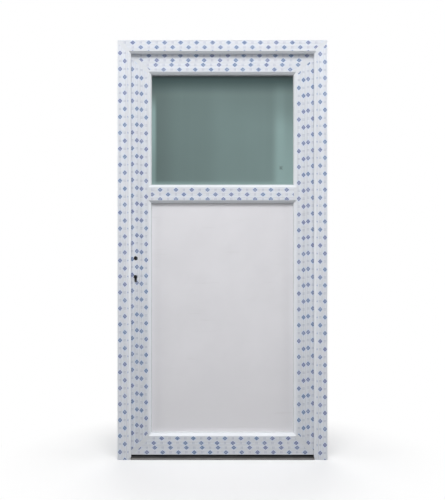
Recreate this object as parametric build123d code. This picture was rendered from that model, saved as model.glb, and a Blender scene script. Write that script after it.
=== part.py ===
from build123d import *
import os

# A white PVC entrance door: a three-sided frame, a low threshold and one leaf that opens inward.
# X runs along the door from lock to hinges, Y from outside to inside, Z up. Sizes are in millimetres.
# Depths are measured from the outer face of the frame, widths from the edge that a profile starts at.

# Overall size of the frame
FRAME_WIDTH = 1000.0
FRAME_HEIGHT = 2000.0
FRAME_DEPTH = 70.0

# Walls shared by all the extruded profiles
WALL = 3.0
WEB = 1.5
EDGE_RADIUS = 1.0
BEVEL_RADIUS = 2.0
WELD_GROOVE_WIDTH = 2.0
WELD_GROOVE_DEPTH = 0.4

# Frame profile: a flat face, a bevelled lip and the rebate behind the lip
FRAME_FACE = 62.0
FRAME_BEVEL_WIDTH = 10.0
FRAME_BEVEL_DEPTH = 8.0
LIP_DEPTH = 20.0
REBATE_WIDTH = 20.0
FRAME_INNER_ROW = 18.0
ANCHOR_MOUTH = 6.0
ANCHOR_WIDTH = 10.0
ANCHOR_LIP = 1.8
ANCHOR_DEPTH = 4.5
ANCHOR_SPACING = 30.0

# Seals between frame and leaf
SEAL_GAP = 4.0
SEAL_CLEARANCE = 0.5
SEAL_INSET = 4.5
SEAL_WIDTH = 6.0
SEAL_NOSE = 2.5
SEAL_GROOVE_WIDTH = 3.0
SEAL_GROOVE_DEPTH = 4.0
SEAL_ROOT_CLEARANCE = 0.2

# Leaf profile: flat face, glazing bevel and lip outside, overlapping flange inside
LEAF_GAP = 12.0
LEAF_FLOOR_GAP = 16.0
LEAF_DEPTH = 70.0
LEAF_FACE = 102.0
LEAF_BEVEL_WIDTH = 12.0
LEAF_BEVEL_DEPTH = 8.0
FLANGE_WIDTH = 20.0
FLANGE_BEVEL_WIDTH = 12.0
FLANGE_BEVEL_DEPTH = 7.0
GLAZING_LIP_DEPTH = 18.0
GLAZING_REBATE = 24.0
HARDWARE_AXIS = 37.0
HARDWARE_WIDTH = 16.0
HARDWARE_DEPTH = 3.0
HARDWARE_SLOT_WIDTH = 12.0
HARDWARE_SLOT_DEPTH = 4.0

# Mid rail
MID_RAIL_FLAT = 63.0
MID_RAIL_HEIGHT = 1270.0
COPE_CLEARANCE = 0.1

# Glazing and lower panel
GLAZING_SEAL = 3.0
GLAZING_SEAL_WIDTH = 10.0
GLAZING_SEAL_LIP = 2.5
INFILL_DEPTH = 24.0
INFILL_GAP = 5.0
PANE_THICKNESS = 4.0
SPACER_WIDTH = 12.0
SPACER_INSET = 2.0
PANEL_EDGE_RADIUS = 1.0
BEAD_HEIGHT = 20.0
BEAD_NOSE = 8.0
BEAD_TOP = 8.0
BEAD_WALL = 2.0
BEAD_RADIUS = 2.5
BEAD_TONGUE = 5.5
BEAD_TONGUE_WIDTH = 3.6
BEAD_GROOVE_WIDTH = 4.0
BEAD_GROOVE_DEPTH = 6.0
BEAD_GROOVE_INSET = 13.0

# Threshold and the brush under the leaf
NOSE_HEIGHT = 10.0
NOSE_WIDTH = 7.0
NOSE_CHAMFER = 3.0
TRAY_THICKNESS = 3.0
TREAD_HEIGHT = 9.0
RIB_WIDTH = 3.0
RIB_HEIGHT = 1.5
RIB_PITCH = 6.0
BRUSH_WIDTH = 6.0
BRUSH_GAP = 1.0
BRUSH_END_GAP = 6.0
CARRIER_CLEARANCE = 0.2

# Steel channels in the jambs
STEEL_THICKNESS = 1.5
STEEL_CLEARANCE = 0.3
STEEL_SETBACK = 3.0

# Lock, with the bolts withdrawn
SPINDLE_HEIGHT = 960.0
LOCK_CENTRES = 90.0
BACKSET = 28.0
SPINDLE_HOLE = 20.0
SPINDLE_SQUARE = 8.2
CYLINDER_DIAMETER = 17.0
CYLINDER_SLOT = 10.0
CYLINDER_HEIGHT = 33.0
CYLINDER_CLEARANCE = 1.5
CASE_DEPTH = 45.0
CASE_THICKNESS = 15.0
CASE_ABOVE = 45.0
CASE_BELOW = 55.0
CASE_CLEARANCE = 0.3
FACEPLATE_ABOVE = 75.0
FACEPLATE_BELOW = 80.0
PLATE_END_RADIUS = 7.0
BOLT_WIDTH = 11.0
BOLT_LENGTH = 18.0
BOLT_CLEARANCE = 0.3
LATCH_HEIGHT = 28.0
DEAD_BOLT_HEIGHT = 36.0
DEAD_BOLT_DROP = 62.0
STRIKE_WIDTH = 18.0
STRIKE_THICKNESS = 3.0
STRIKE_POCKET = 14.0
STRIKE_HOLE_MARGIN = 3.0

# Hinges on the inner face
HINGE_END_GAP = 240.0
HINGE_LENGTH = 100.0
HINGE_INSET = 20.0
HINGE_STANDOFF = 6.0
BARREL_RADIUS = 9.0
PIN_RADIUS = 5.0
PIN_CLEARANCE = 0.1
KNUCKLE_LENGTH = 40.0
KNUCKLE_GAP = 1.0
KNUCKLE_CAP = 4.0
CAP_CHAMFER = 1.5
HINGE_BASE_WIDTH = 25.0
HINGE_BASE_THICKNESS = 6.0
HINGE_SIDE_GAP = 6.0
HINGE_NECK = 14.0
HINGE_PLATE_WIDTH = 40.0
HINGE_PLATE_THICKNESS = 5.0
HINGE_CORNER = 3.0

# Depths and edges that follow from the sizes above
OUTER_Y = -FRAME_DEPTH / 2
LEAF_OUT = LIP_DEPTH + SEAL_GAP
LEAF_IN = LEAF_OUT + LEAF_DEPTH
FLANGE_BACK = FRAME_DEPTH + SEAL_GAP
GLAZING_BACK = LEAF_OUT + GLAZING_LIP_DEPTH
INFILL_OUT = GLAZING_BACK + GLAZING_SEAL
INFILL_IN = INFILL_OUT + INFILL_DEPTH
BEAD_BACK = INFILL_IN + GLAZING_SEAL
BEAD_GROOVE = LEAF_IN - BEAD_GROOVE_INSET
HARDWARE_DEPTH_AXIS = LEAF_OUT + HARDWARE_AXIS
REBATE_BASE = FRAME_FACE - REBATE_WIDTH
LEAF_EDGE = REBATE_BASE + LEAF_GAP
GLAZING_BASE = LEAF_FACE - GLAZING_REBATE
MID_RAIL_HALF = MID_RAIL_FLAT / 2 + LEAF_BEVEL_WIDTH
MID_RAIL_BASE = MID_RAIL_HALF - GLAZING_REBATE
FRAME_BACK_WALL = ANCHOR_DEPTH + WALL
TREAD_TOP = TREAD_HEIGHT + RIB_HEIGHT
FAR = 2 * FRAME_DEPTH + LEAF_DEPTH

# Rectangles as (left, right, bottom, top) in the plane of the door
FRAME_RECT = (-FRAME_WIDTH / 2, FRAME_WIDTH / 2, -FRAME_FACE, FRAME_HEIGHT)
LEAF_RECT = (
    LEAF_EDGE - FRAME_WIDTH / 2,
    FRAME_WIDTH / 2 - LEAF_EDGE,
    LEAF_FLOOR_GAP,
    FRAME_HEIGHT - LEAF_EDGE,
)
GLAZING_LEFT = LEAF_RECT[0] + GLAZING_BASE
GLAZING_RIGHT = LEAF_RECT[1] - GLAZING_BASE
UPPER_RECT = (
    GLAZING_LEFT,
    GLAZING_RIGHT,
    MID_RAIL_HEIGHT + MID_RAIL_BASE,
    LEAF_RECT[3] - GLAZING_BASE,
)
LOWER_RECT = (
    GLAZING_LEFT,
    GLAZING_RIGHT,
    LEAF_RECT[2] + GLAZING_BASE,
    MID_RAIL_HEIGHT - MID_RAIL_BASE,
)

# Which way a profile's width and its length run on each side of a rectangle
SIDES = {
    "bottom": ((0, 0, 1), (-1, 0, 0)),
    "right": ((-1, 0, 0), (0, 0, -1)),
    "top": ((0, 0, -1), (1, 0, 0)),
    "left": ((1, 0, 0), (0, 0, 1)),
}

parts = {}


# Drawing helpers
def outline(points, radii):
    """A closed face through the points, each corner rounded by its radius."""
    return make_face(FilletPolyline(*points, radius=radii, close=True))


def polygon(*points):
    """A closed face with sharp corners."""
    return make_face(Polyline(*points, close=True))


def area(width_0, width_1, depth_0, depth_1):
    """A rectangle of a profile between two widths and two depths."""
    centre = Pos((width_0 + width_1) / 2, (depth_0 + depth_1) / 2)
    return centre * Rectangle(width_1 - width_0, depth_1 - depth_0)


def block(x_0, x_1, depth_0, depth_1, z_0, z_1):
    """A box between two x, two depths and two heights."""
    centre = Pos((x_0 + x_1) / 2, OUTER_Y + (depth_0 + depth_1) / 2, (z_0 + z_1) / 2)
    return centre * Box(x_1 - x_0, depth_1 - depth_0, z_1 - z_0)


def corners(rect, outward):
    """The corners of a rectangle moved outward, from the lower left, anticlockwise."""
    left, right, bottom, top = rect
    return [
        (left - outward, bottom - outward),
        (right + outward, bottom - outward),
        (right + outward, top + outward),
        (left - outward, top + outward),
    ]


def mitred_length(profile, rect, side):
    """One length of a profile along a side of a rectangle, mitred at both ends."""
    box = profile.bounding_box()
    outside = max(0.0, -box.min.X) + EDGE_RADIUS
    inside = box.max.X + EDGE_RADIUS
    first = list(SIDES).index(side)
    second = (first + 1) % len(SIDES)
    outer = corners(rect, outside)
    inner = corners(rect, -inside)
    field = Plane.XZ * polygon(outer[first], outer[second], inner[second], inner[first])
    start_x, start_z = corners(rect, 0.0)[second]
    end_x, end_z = corners(rect, 0.0)[first]
    width_dir, length_dir = SIDES[side]
    run = abs(end_x - start_x) + abs(end_z - start_z)
    start = Vector(start_x, OUTER_Y, start_z) - Vector(*length_dir) * outside
    plane = Plane(origin=start, x_dir=width_dir, z_dir=length_dir)
    bar = extrude(plane * profile, amount=run + 2 * outside, dir=length_dir)
    return bar & extrude(field, amount=FAR, both=True)


def above(solid, height):
    """What lies above a level."""
    return split(solid, bisect_by=Plane.XY.offset(height), keep=Keep.TOP)


def weld_groove(corner, toward, depth, reach):
    """The shallow groove along a mitre, where the weld bead was cleaned off."""
    centre = Pos(
        corner[0] + toward[0] * reach / 2,
        OUTER_Y + depth,
        corner[1] + toward[1] * reach / 2,
    )
    turn = Rot(0, -45 * toward[0] * toward[1], 0)
    return centre * turn * Box(reach * 2**0.5, 2 * WELD_GROOVE_DEPTH, WELD_GROOVE_WIDTH)


# Extruded profiles, drawn as (width, depth)
def anchor_groove(depth):
    """A T-shaped groove in the wall side of the frame, for fixing brackets."""
    mouth = area(0, ANCHOR_LIP, depth - ANCHOR_MOUTH / 2, depth + ANCHOR_MOUTH / 2)
    return mouth + area(ANCHOR_LIP, ANCHOR_DEPTH, depth - ANCHOR_WIDTH / 2, depth + ANCHOR_WIDTH / 2)


def seal_groove(width, depth, toward):
    """The groove that holds the root of a seal, cut from a face into the profile."""
    low, high = sorted((depth, depth + toward * SEAL_GROOVE_DEPTH))
    return area(width - SEAL_GROOVE_WIDTH / 2, width + SEAL_GROOVE_WIDTH / 2, low, high)


def frame_steel_chamber():
    """Bounds of the frame chamber that takes the steel channel."""
    return (
        FRAME_BACK_WALL,
        REBATE_BASE - WALL,
        LIP_DEPTH + WEB / 2,
        FRAME_DEPTH - FRAME_INNER_ROW - WEB / 2,
    )


def frame_profile():
    """The frame: face, lip and rebate, with five chambers."""
    flat = FRAME_FACE - FRAME_BEVEL_WIDTH
    points = [
        (0, 0),
        (flat, 0),
        (FRAME_FACE, FRAME_BEVEL_DEPTH),
        (FRAME_FACE, LIP_DEPTH),
        (REBATE_BASE, LIP_DEPTH),
        (REBATE_BASE, FRAME_DEPTH),
        (0, FRAME_DEPTH),
    ]
    radii = [EDGE_RADIUS, BEVEL_RADIUS, BEVEL_RADIUS, EDGE_RADIUS, 0, EDGE_RADIUS, EDGE_RADIUS]
    inner_row = FRAME_DEPTH - FRAME_INNER_ROW + WEB / 2
    middle = (FRAME_BACK_WALL + REBATE_BASE - WALL) / 2
    profile = outline(points, radii)
    profile -= seal_groove(FRAME_FACE - SEAL_INSET, LIP_DEPTH, -1)
    profile -= anchor_groove((FRAME_DEPTH - ANCHOR_SPACING) / 2)
    profile -= anchor_groove((FRAME_DEPTH + ANCHOR_SPACING) / 2)
    profile -= area(FRAME_BACK_WALL, REBATE_BASE - WEB / 2, WALL, LIP_DEPTH - WEB / 2)
    profile -= area(REBATE_BASE + WEB / 2, flat, WALL, LIP_DEPTH - WALL)
    profile -= area(*frame_steel_chamber())
    profile -= area(FRAME_BACK_WALL, middle - WEB / 2, inner_row, FRAME_DEPTH - WALL)
    profile -= area(middle + WEB / 2, REBATE_BASE - WALL, inner_row, FRAME_DEPTH - WALL)
    return profile


def leaf_outline():
    """The outer shape of the leaf profile, without grooves and chambers."""
    points = [
        (0, LEAF_OUT),
        (LEAF_FACE - LEAF_BEVEL_WIDTH, LEAF_OUT),
        (LEAF_FACE, LEAF_OUT + LEAF_BEVEL_DEPTH),
        (LEAF_FACE, GLAZING_BACK),
        (GLAZING_BASE, GLAZING_BACK),
        (GLAZING_BASE, LEAF_IN),
        (FLANGE_BEVEL_WIDTH - FLANGE_WIDTH, LEAF_IN),
        (-FLANGE_WIDTH, LEAF_IN - FLANGE_BEVEL_DEPTH),
        (-FLANGE_WIDTH, FLANGE_BACK),
        (0, FLANGE_BACK),
    ]
    radii = [
        BEVEL_RADIUS,
        BEVEL_RADIUS,
        BEVEL_RADIUS,
        EDGE_RADIUS,
        0,
        0,
        BEVEL_RADIUS,
        BEVEL_RADIUS,
        EDGE_RADIUS,
        0,
    ]
    return outline(points, radii)


def bead_groove(base, toward):
    """The slot in a glazing base that a bead snaps into."""
    low, high = sorted((base, base + toward * BEAD_GROOVE_DEPTH))
    return area(low, high, BEAD_GROOVE - BEAD_GROOVE_WIDTH / 2, BEAD_GROOVE + BEAD_GROOVE_WIDTH / 2)


def leaf_profile():
    """The leaf: outer row, lip, steel chamber, inner row and flange."""
    groove_end = HARDWARE_DEPTH + HARDWARE_SLOT_DEPTH
    inner_end = GLAZING_BASE - BEAD_GROOVE_DEPTH - WALL
    front_middle = GLAZING_BASE / 2
    inner_middle = inner_end / 2
    front = (LEAF_OUT + WALL, GLAZING_BACK - WEB / 2)
    inner = (FLANGE_BACK + WEB / 2, LEAF_IN - WALL)
    mouth = HARDWARE_WIDTH / 2
    slot = HARDWARE_SLOT_WIDTH / 2
    profile = leaf_outline()
    profile -= area(0, HARDWARE_DEPTH, HARDWARE_DEPTH_AXIS - mouth, HARDWARE_DEPTH_AXIS + mouth)
    profile -= area(HARDWARE_DEPTH, groove_end, HARDWARE_DEPTH_AXIS - slot, HARDWARE_DEPTH_AXIS + slot)
    profile -= seal_groove(SEAL_INSET - FLANGE_WIDTH, FLANGE_BACK, 1)
    profile -= seal_groove(LEAF_FACE - SEAL_INSET, GLAZING_BACK, -1)
    profile -= bead_groove(GLAZING_BASE, -1)
    profile -= area(WALL, front_middle - WEB / 2, *front)
    profile -= area(front_middle + WEB / 2, GLAZING_BASE - WEB / 2, *front)
    profile -= area(GLAZING_BASE + WEB / 2, LEAF_FACE - LEAF_BEVEL_WIDTH, front[0], GLAZING_BACK - WALL)
    profile -= area(groove_end + WALL, inner_end, GLAZING_BACK + WEB / 2, FLANGE_BACK - WEB / 2)
    profile -= area(WEB / 2, inner_middle - WEB / 2, *inner)
    profile -= area(inner_middle + WEB / 2, inner_end, *inner)
    profile -= area(FLANGE_BEVEL_WIDTH - FLANGE_WIDTH, -WEB / 2, FLANGE_BACK + WALL, LEAF_IN - WALL)
    return profile


def mid_rail_profile():
    """The mid rail: a T with a glazing lip and a bead groove on both sides of its stem."""
    flat = MID_RAIL_FLAT / 2
    half = [
        (flat, LEAF_OUT),
        (MID_RAIL_HALF, LEAF_OUT + LEAF_BEVEL_DEPTH),
        (MID_RAIL_HALF, GLAZING_BACK),
        (MID_RAIL_BASE, GLAZING_BACK),
        (MID_RAIL_BASE, LEAF_IN),
    ]
    half_radii = [BEVEL_RADIUS, BEVEL_RADIUS, EDGE_RADIUS, 0, 0]
    points = half + [(-width, depth) for width, depth in reversed(half)]
    profile = outline(points, half_radii + half_radii[::-1])
    stem = MID_RAIL_BASE - WALL
    neck = MID_RAIL_BASE - BEAD_GROOVE_DEPTH - WEB
    for side in (-1, 1):
        profile -= seal_groove(side * (MID_RAIL_HALF - SEAL_INSET), GLAZING_BACK, -1)
        profile -= bead_groove(side * MID_RAIL_BASE, -side)
        front = sorted((side * WEB / 2, side * (flat - WEB / 2)))
        profile -= area(*front, LEAF_OUT + WALL, GLAZING_BACK - WALL)
    profile -= area(-stem, stem, GLAZING_BACK + WEB / 2, FLANGE_BACK - WEB / 2)
    profile -= area(-neck, neck, FLANGE_BACK + WEB / 2, LEAF_IN - WALL)
    return profile


def bead_profile():
    """A glazing bead: hollow, bevelled towards the room, with a tongue for its slot."""
    points = [
        (0, BEAD_BACK),
        (BEAD_HEIGHT, BEAD_BACK),
        (BEAD_HEIGHT, BEAD_BACK + BEAD_NOSE),
        (BEAD_TOP, LEAF_IN),
        (0, LEAF_IN),
    ]
    body = outline(points, [0, EDGE_RADIUS, BEAD_RADIUS, BEAD_RADIUS, 0])
    hollow = offset(polygon(*points), amount=-BEAD_WALL)
    half = BEAD_TONGUE_WIDTH / 2
    return body - hollow + area(-BEAD_TONGUE, EDGE_RADIUS, BEAD_GROOVE - half, BEAD_GROOVE + half)


def seal_profile(width, seat, toward):
    """A frame or flange seal: a root in its groove and a nose towards the other profile."""
    reach = SEAL_GAP - SEAL_CLEARANCE
    root = SEAL_GROOVE_WIDTH / 2 - SEAL_ROOT_CLEARANCE
    root_end = seat - toward * (SEAL_GROOVE_DEPTH - SEAL_ROOT_CLEARANCE)
    low, high = sorted((root_end, seat))
    nose = polygon(
        (width - SEAL_WIDTH / 2, seat),
        (width + SEAL_WIDTH / 2, seat),
        (width + SEAL_NOSE / 2, seat + toward * reach),
        (width - SEAL_NOSE / 2, seat + toward * reach),
    )
    return nose + area(width - root, width + root, low, high)


def glazing_seal_profile():
    """The outer glazing seal: a pad with a lip that shows beside the bevel."""
    return polygon(
        (GLAZING_REBATE - GLAZING_SEAL_WIDTH, GLAZING_BACK),
        (GLAZING_REBATE, GLAZING_BACK),
        (GLAZING_REBATE + GLAZING_SEAL_LIP, INFILL_OUT),
        (GLAZING_REBATE - GLAZING_SEAL_WIDTH, INFILL_OUT),
    )


def glazing_root_profile():
    """The root of the outer glazing seal, in the groove of the lip."""
    root = SEAL_GROOVE_WIDTH / 2 - SEAL_ROOT_CLEARANCE
    centre = GLAZING_REBATE - SEAL_INSET
    root_end = GLAZING_BACK - SEAL_GROOVE_DEPTH + SEAL_ROOT_CLEARANCE
    return area(centre - root, centre + root, root_end, GLAZING_BACK)


def bead_seal_profile():
    """The inner glazing seal, between the infill and a bead."""
    return polygon(
        (BEAD_HEIGHT - GLAZING_SEAL_WIDTH, INFILL_IN),
        (BEAD_HEIGHT + GLAZING_SEAL_LIP, INFILL_IN),
        (BEAD_HEIGHT, BEAD_BACK),
        (BEAD_HEIGHT - GLAZING_SEAL_WIDTH, BEAD_BACK),
    )


def ring(profile, rect, sides=tuple(SIDES)):
    """Mitred lengths of a soft profile joined at the corners."""
    lengths = [mitred_length(profile, rect, side) for side in sides]
    whole = lengths[0]
    for length in lengths[1:]:
        whole += length
    return whole


def glazing_seal(rect):
    """An outer glazing seal, with its root cut back where the lips cross at the corners."""
    root = ring(glazing_root_profile(), rect)
    half = GLAZING_REBATE / 2
    for x, z in corners(rect, -half):
        root -= block(x - half, x + half, LEAF_OUT, GLAZING_BACK, z - half, z + half)
    return ring(glazing_seal_profile(), rect) + root


# The frame and its seal
def build_frame():
    profile = frame_profile()
    head = mitred_length(profile, FRAME_RECT, "top")
    lock_jamb = above(mitred_length(profile, FRAME_RECT, "left"), 0)
    hinge_jamb = above(mitred_length(profile, FRAME_RECT, "right"), 0)
    for depth in (0, FRAME_DEPTH):
        left_weld = weld_groove((FRAME_RECT[0], FRAME_HEIGHT), (1, -1), depth, FRAME_FACE)
        right_weld = weld_groove((FRAME_RECT[1], FRAME_HEIGHT), (-1, -1), depth, FRAME_FACE)
        head -= [left_weld, right_weld]
        lock_jamb -= left_weld
        hinge_jamb -= right_weld
    for hole in strike_holes(REBATE_BASE - STRIKE_POCKET, REBATE_BASE + EDGE_RADIUS):
        lock_jamb -= hole
    parts["frame_head"] = head
    parts["frame_lock_jamb"] = lock_jamb
    parts["frame_hinge_jamb"] = hinge_jamb
    seal = ring(seal_profile(FRAME_FACE - SEAL_INSET, LIP_DEPTH, 1), FRAME_RECT, ("left", "top", "right"))
    parts["frame_seal"] = above(seal, NOSE_HEIGHT + SEAL_CLEARANCE)


def build_reinforcement():
    """A steel channel in each jamb, open towards the wall and seen at the jamb's foot."""
    width_0, width_1, depth_0, depth_1 = frame_steel_chamber()
    gap = STEEL_CLEARANCE
    outer = area(width_0 + gap, width_1 - gap, depth_0 + gap, depth_1 - gap)
    inset = gap + STEEL_THICKNESS
    channel = outer - area(width_0 + gap, width_1 - inset, depth_0 + inset, depth_1 - inset)
    height = FRAME_HEIGHT - FRAME_FACE - 2 * STEEL_SETBACK
    bar = Pos(FRAME_RECT[0], OUTER_Y, STEEL_SETBACK) * extrude(channel, amount=height)
    parts["jamb_reinforcement"] = bar + mirror(bar, about=Plane.YZ)


# The threshold between the jambs
def build_threshold():
    half = FRAME_WIDTH / 2 - REBATE_BASE
    lip = FRAME_WIDTH / 2 - FRAME_FACE
    back = FRAME_DEPTH - NOSE_WIDTH
    tray = polygon(
        (0, 0),
        (0, NOSE_HEIGHT - NOSE_CHAMFER),
        (NOSE_CHAMFER, NOSE_HEIGHT),
        (NOSE_WIDTH, NOSE_HEIGHT),
        (NOSE_WIDTH, TRAY_THICKNESS),
        (back, TRAY_THICKNESS),
        (back, NOSE_HEIGHT),
        (FRAME_DEPTH - NOSE_CHAMFER, NOSE_HEIGHT),
        (FRAME_DEPTH, NOSE_HEIGHT - NOSE_CHAMFER),
        (FRAME_DEPTH, 0),
    )
    tread = area(NOSE_WIDTH, back, TRAY_THICKNESS, TREAD_HEIGHT)
    count = int((back - NOSE_WIDTH) / RIB_PITCH)
    middle = FRAME_DEPTH / 2
    for index in range(count):
        rib = middle + (index - (count - 1) / 2) * RIB_PITCH
        tread += area(rib - RIB_WIDTH / 2, rib + RIB_WIDTH / 2, TREAD_HEIGHT, TREAD_TOP)
    section = Plane((0, OUTER_Y, 0), x_dir=(0, 1, 0), z_dir=(1, 0, 0))
    notches = []
    for side in (-1, 1):
        x_0, x_1 = sorted((side * lip, side * (half + EDGE_RADIUS)))
        notches.append(block(x_0, x_1, -EDGE_RADIUS, LIP_DEPTH, -EDGE_RADIUS, FRAME_FACE))
    parts["threshold_rail"] = extrude(section * tray, amount=half, both=True) - notches
    parts["threshold_tread"] = extrude(section * tread, amount=half, both=True) - notches


# The leaf: two stiles, three rails and their seals
def build_leaf():
    profile = leaf_profile()
    reach = LEAF_FACE
    rails = {side: above(mitred_length(profile, LEAF_RECT, side), LEAF_FLOOR_GAP) for side in SIDES}
    left, right, bottom, top = LEAF_RECT
    welds = {
        ("left", "bottom"): ((left, bottom), (1, 1)),
        ("left", "top"): ((left, top), (1, -1)),
        ("right", "bottom"): ((right, bottom), (-1, 1)),
        ("right", "top"): ((right, top), (-1, -1)),
    }
    for sides, (corner, toward) in welds.items():
        for depth in (LEAF_OUT, LEAF_IN):
            groove = weld_groove(corner, toward, depth, reach)
            for side in sides:
                rails[side] -= groove
    plane = Plane((GLAZING_LEFT, OUTER_Y, MID_RAIL_HEIGHT), x_dir=(0, 0, -1), z_dir=(1, 0, 0))
    mid_rail = extrude(plane * mid_rail_profile(), amount=GLAZING_RIGHT - GLAZING_LEFT, dir=(1, 0, 0))
    cope = offset(leaf_outline(), amount=COPE_CLEARANCE)
    for side in ("left", "right"):
        mid_rail -= mitred_length(cope, LEAF_RECT, side)
    parts["leaf_top_rail"] = rails["top"]
    parts["leaf_bottom_rail"] = rails["bottom"]
    parts["leaf_lock_stile"] = rails["left"] - lock_cuts()
    parts["leaf_hinge_stile"] = rails["right"]
    parts["leaf_mid_rail"] = mid_rail
    flange_seal = seal_profile(SEAL_INSET - FLANGE_WIDTH, FLANGE_BACK, -1)
    parts["leaf_seal"] = above(ring(flange_seal, LEAF_RECT, ("left", "top", "right")), LEAF_FLOOR_GAP)


def build_brush():
    """The brush under the leaf, in a carrier pressed into the hardware groove."""
    left, right, bottom, _ = LEAF_RECT
    x_0 = left + BRUSH_END_GAP
    x_1 = right - BRUSH_END_GAP
    carrier = HARDWARE_WIDTH / 2 - CARRIER_CLEARANCE
    axis = HARDWARE_DEPTH_AXIS
    strip = block(x_0, x_1, axis - carrier, axis + carrier, bottom, bottom + HARDWARE_DEPTH)
    brush = block(x_0, x_1, axis - BRUSH_WIDTH / 2, axis + BRUSH_WIDTH / 2, TREAD_TOP + BRUSH_GAP, bottom)
    parts["bottom_brush"] = strip + brush


# The infills, their seals and their beads
def sheet(rect, inset, depth_0, depth_1):
    left, right, bottom, top = rect
    return block(left + inset, right - inset, depth_0, depth_1, bottom + inset, top - inset)


def build_infills():
    inner_pane = INFILL_IN - PANE_THICKNESS
    outer_pane = INFILL_OUT + PANE_THICKNESS
    spacer_inset = INFILL_GAP + SPACER_INSET
    spacer = sheet(UPPER_RECT, spacer_inset, outer_pane, inner_pane)
    spacer -= sheet(UPPER_RECT, spacer_inset + SPACER_WIDTH, outer_pane, inner_pane)
    panel = sheet(LOWER_RECT, INFILL_GAP, INFILL_OUT, INFILL_IN)
    parts["glass_outer_pane"] = sheet(UPPER_RECT, INFILL_GAP, INFILL_OUT, outer_pane)
    parts["glass_spacer"] = spacer
    parts["glass_inner_pane"] = sheet(UPPER_RECT, INFILL_GAP, inner_pane, INFILL_IN)
    parts["lower_panel"] = chamfer(panel.edges(), PANEL_EDGE_RADIUS)
    for name, rect in (("upper", UPPER_RECT), ("lower", LOWER_RECT)):
        parts[f"{name}_outer_seal"] = glazing_seal(rect)
        parts[f"{name}_inner_seal"] = ring(bead_seal_profile(), rect)
        for side in SIDES:
            parts[f"{name}_bead_{side}"] = mitred_length(bead_profile(), rect, side)


# The lock and its strike plate
LOCK_X = LEAF_RECT[0] + BACKSET
CYLINDER_Z = SPINDLE_HEIGHT - LOCK_CENTRES
LATCH_Z = SPINDLE_HEIGHT
DEAD_BOLT_Z = SPINDLE_HEIGHT - DEAD_BOLT_DROP
FACEPLATE_Z = (CYLINDER_Z - FACEPLATE_BELOW, SPINDLE_HEIGHT + FACEPLATE_ABOVE)
CASE_Z = (CYLINDER_Z - CASE_BELOW, SPINDLE_HEIGHT + CASE_ABOVE)


def through_door(profile):
    """A profile drawn in the plane of the door, run through its whole depth."""
    return extrude(Plane.XZ * profile, amount=FAR, both=True)


def cylinder_hole(clearance):
    """The keyhole-shaped hole of a profile cylinder: a circle with a round-ended slot below it."""
    slot_end = CYLINDER_HEIGHT - CYLINDER_DIAMETER / 2 - CYLINDER_SLOT / 2
    slot = CYLINDER_SLOT / 2 + clearance
    hole = Circle(CYLINDER_DIAMETER / 2 + clearance)
    hole += Pos(0, -slot_end / 2) * Rectangle(2 * slot, slot_end)
    hole += Pos(0, -slot_end) * Circle(slot)
    return through_door(Pos(LOCK_X, CYLINDER_Z) * hole)


def lock_block(x_0, x_1, half_depth, z_range, clearance=0.0):
    """A block centred on the hardware groove, from its floor side inward."""
    low, high = z_range
    half = half_depth + clearance
    axis = HARDWARE_DEPTH_AXIS
    return block(x_0, x_1, axis - half, axis + half, low - clearance, high + clearance)


def lock_plate(x_0, x_1, half_depth):
    """A faceplate or strike plate with rounded ends."""
    plate = lock_block(x_0, x_1, half_depth, FACEPLATE_Z)
    return fillet(plate.edges().filter_by(Axis.X), PLATE_END_RADIUS)


def bolt_ranges():
    """Heights of the latch and the dead bolt."""
    latch = (LATCH_Z - LATCH_HEIGHT / 2, LATCH_Z + LATCH_HEIGHT / 2)
    dead_bolt = (DEAD_BOLT_Z - DEAD_BOLT_HEIGHT / 2, DEAD_BOLT_Z + DEAD_BOLT_HEIGHT / 2)
    return {"latch_bolt": latch, "dead_bolt": dead_bolt}


def lock_cuts():
    """The pocket and the holes that the lock needs in its stile."""
    edge = LEAF_RECT[0]
    pocket_end = edge + HARDWARE_DEPTH + CASE_DEPTH + CASE_CLEARANCE
    pocket = lock_block(edge + HARDWARE_DEPTH, pocket_end, CASE_THICKNESS / 2, CASE_Z, CASE_CLEARANCE)
    spindle = through_door(Pos(LOCK_X, SPINDLE_HEIGHT) * Circle(SPINDLE_HOLE / 2))
    return [pocket, spindle, cylinder_hole(CYLINDER_CLEARANCE)]


def build_lock():
    edge = LEAF_RECT[0]
    seat = edge + HARDWARE_DEPTH
    plate = lock_plate(edge, seat, HARDWARE_WIDTH / 2 - CARRIER_CLEARANCE)
    case = lock_block(seat, seat + CASE_DEPTH, CASE_THICKNESS / 2, CASE_Z)
    case -= cylinder_hole(0.0)
    case -= through_door(Pos(LOCK_X, SPINDLE_HEIGHT) * Rectangle(SPINDLE_SQUARE, SPINDLE_SQUARE))
    for name, z_range in bolt_ranges().items():
        way = lock_block(edge, edge + BOLT_LENGTH, BOLT_WIDTH / 2, z_range, BOLT_CLEARANCE)
        plate -= way
        case -= way
        parts[name] = lock_block(edge, edge + BOLT_LENGTH, BOLT_WIDTH / 2, z_range)
    parts["lock_case"] = case
    parts["lock_faceplate"] = plate


def strike_holes(width_0, width_1):
    """Openings for the two bolts in the lock jamb, between two widths from its wall side."""
    x_0 = FRAME_RECT[0] + width_0
    x_1 = FRAME_RECT[0] + width_1
    ranges = bolt_ranges().values()
    return [lock_block(x_0, x_1, BOLT_WIDTH / 2, z_range, STRIKE_HOLE_MARGIN / 2) for z_range in ranges]


def build_strike():
    x_0 = FRAME_RECT[0] + REBATE_BASE
    plate = lock_plate(x_0, x_0 + STRIKE_THICKNESS, STRIKE_WIDTH / 2)
    holes = strike_holes(REBATE_BASE - EDGE_RADIUS, REBATE_BASE + STRIKE_THICKNESS + EDGE_RADIUS)
    parts["strike_plate"] = plate - holes


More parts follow.
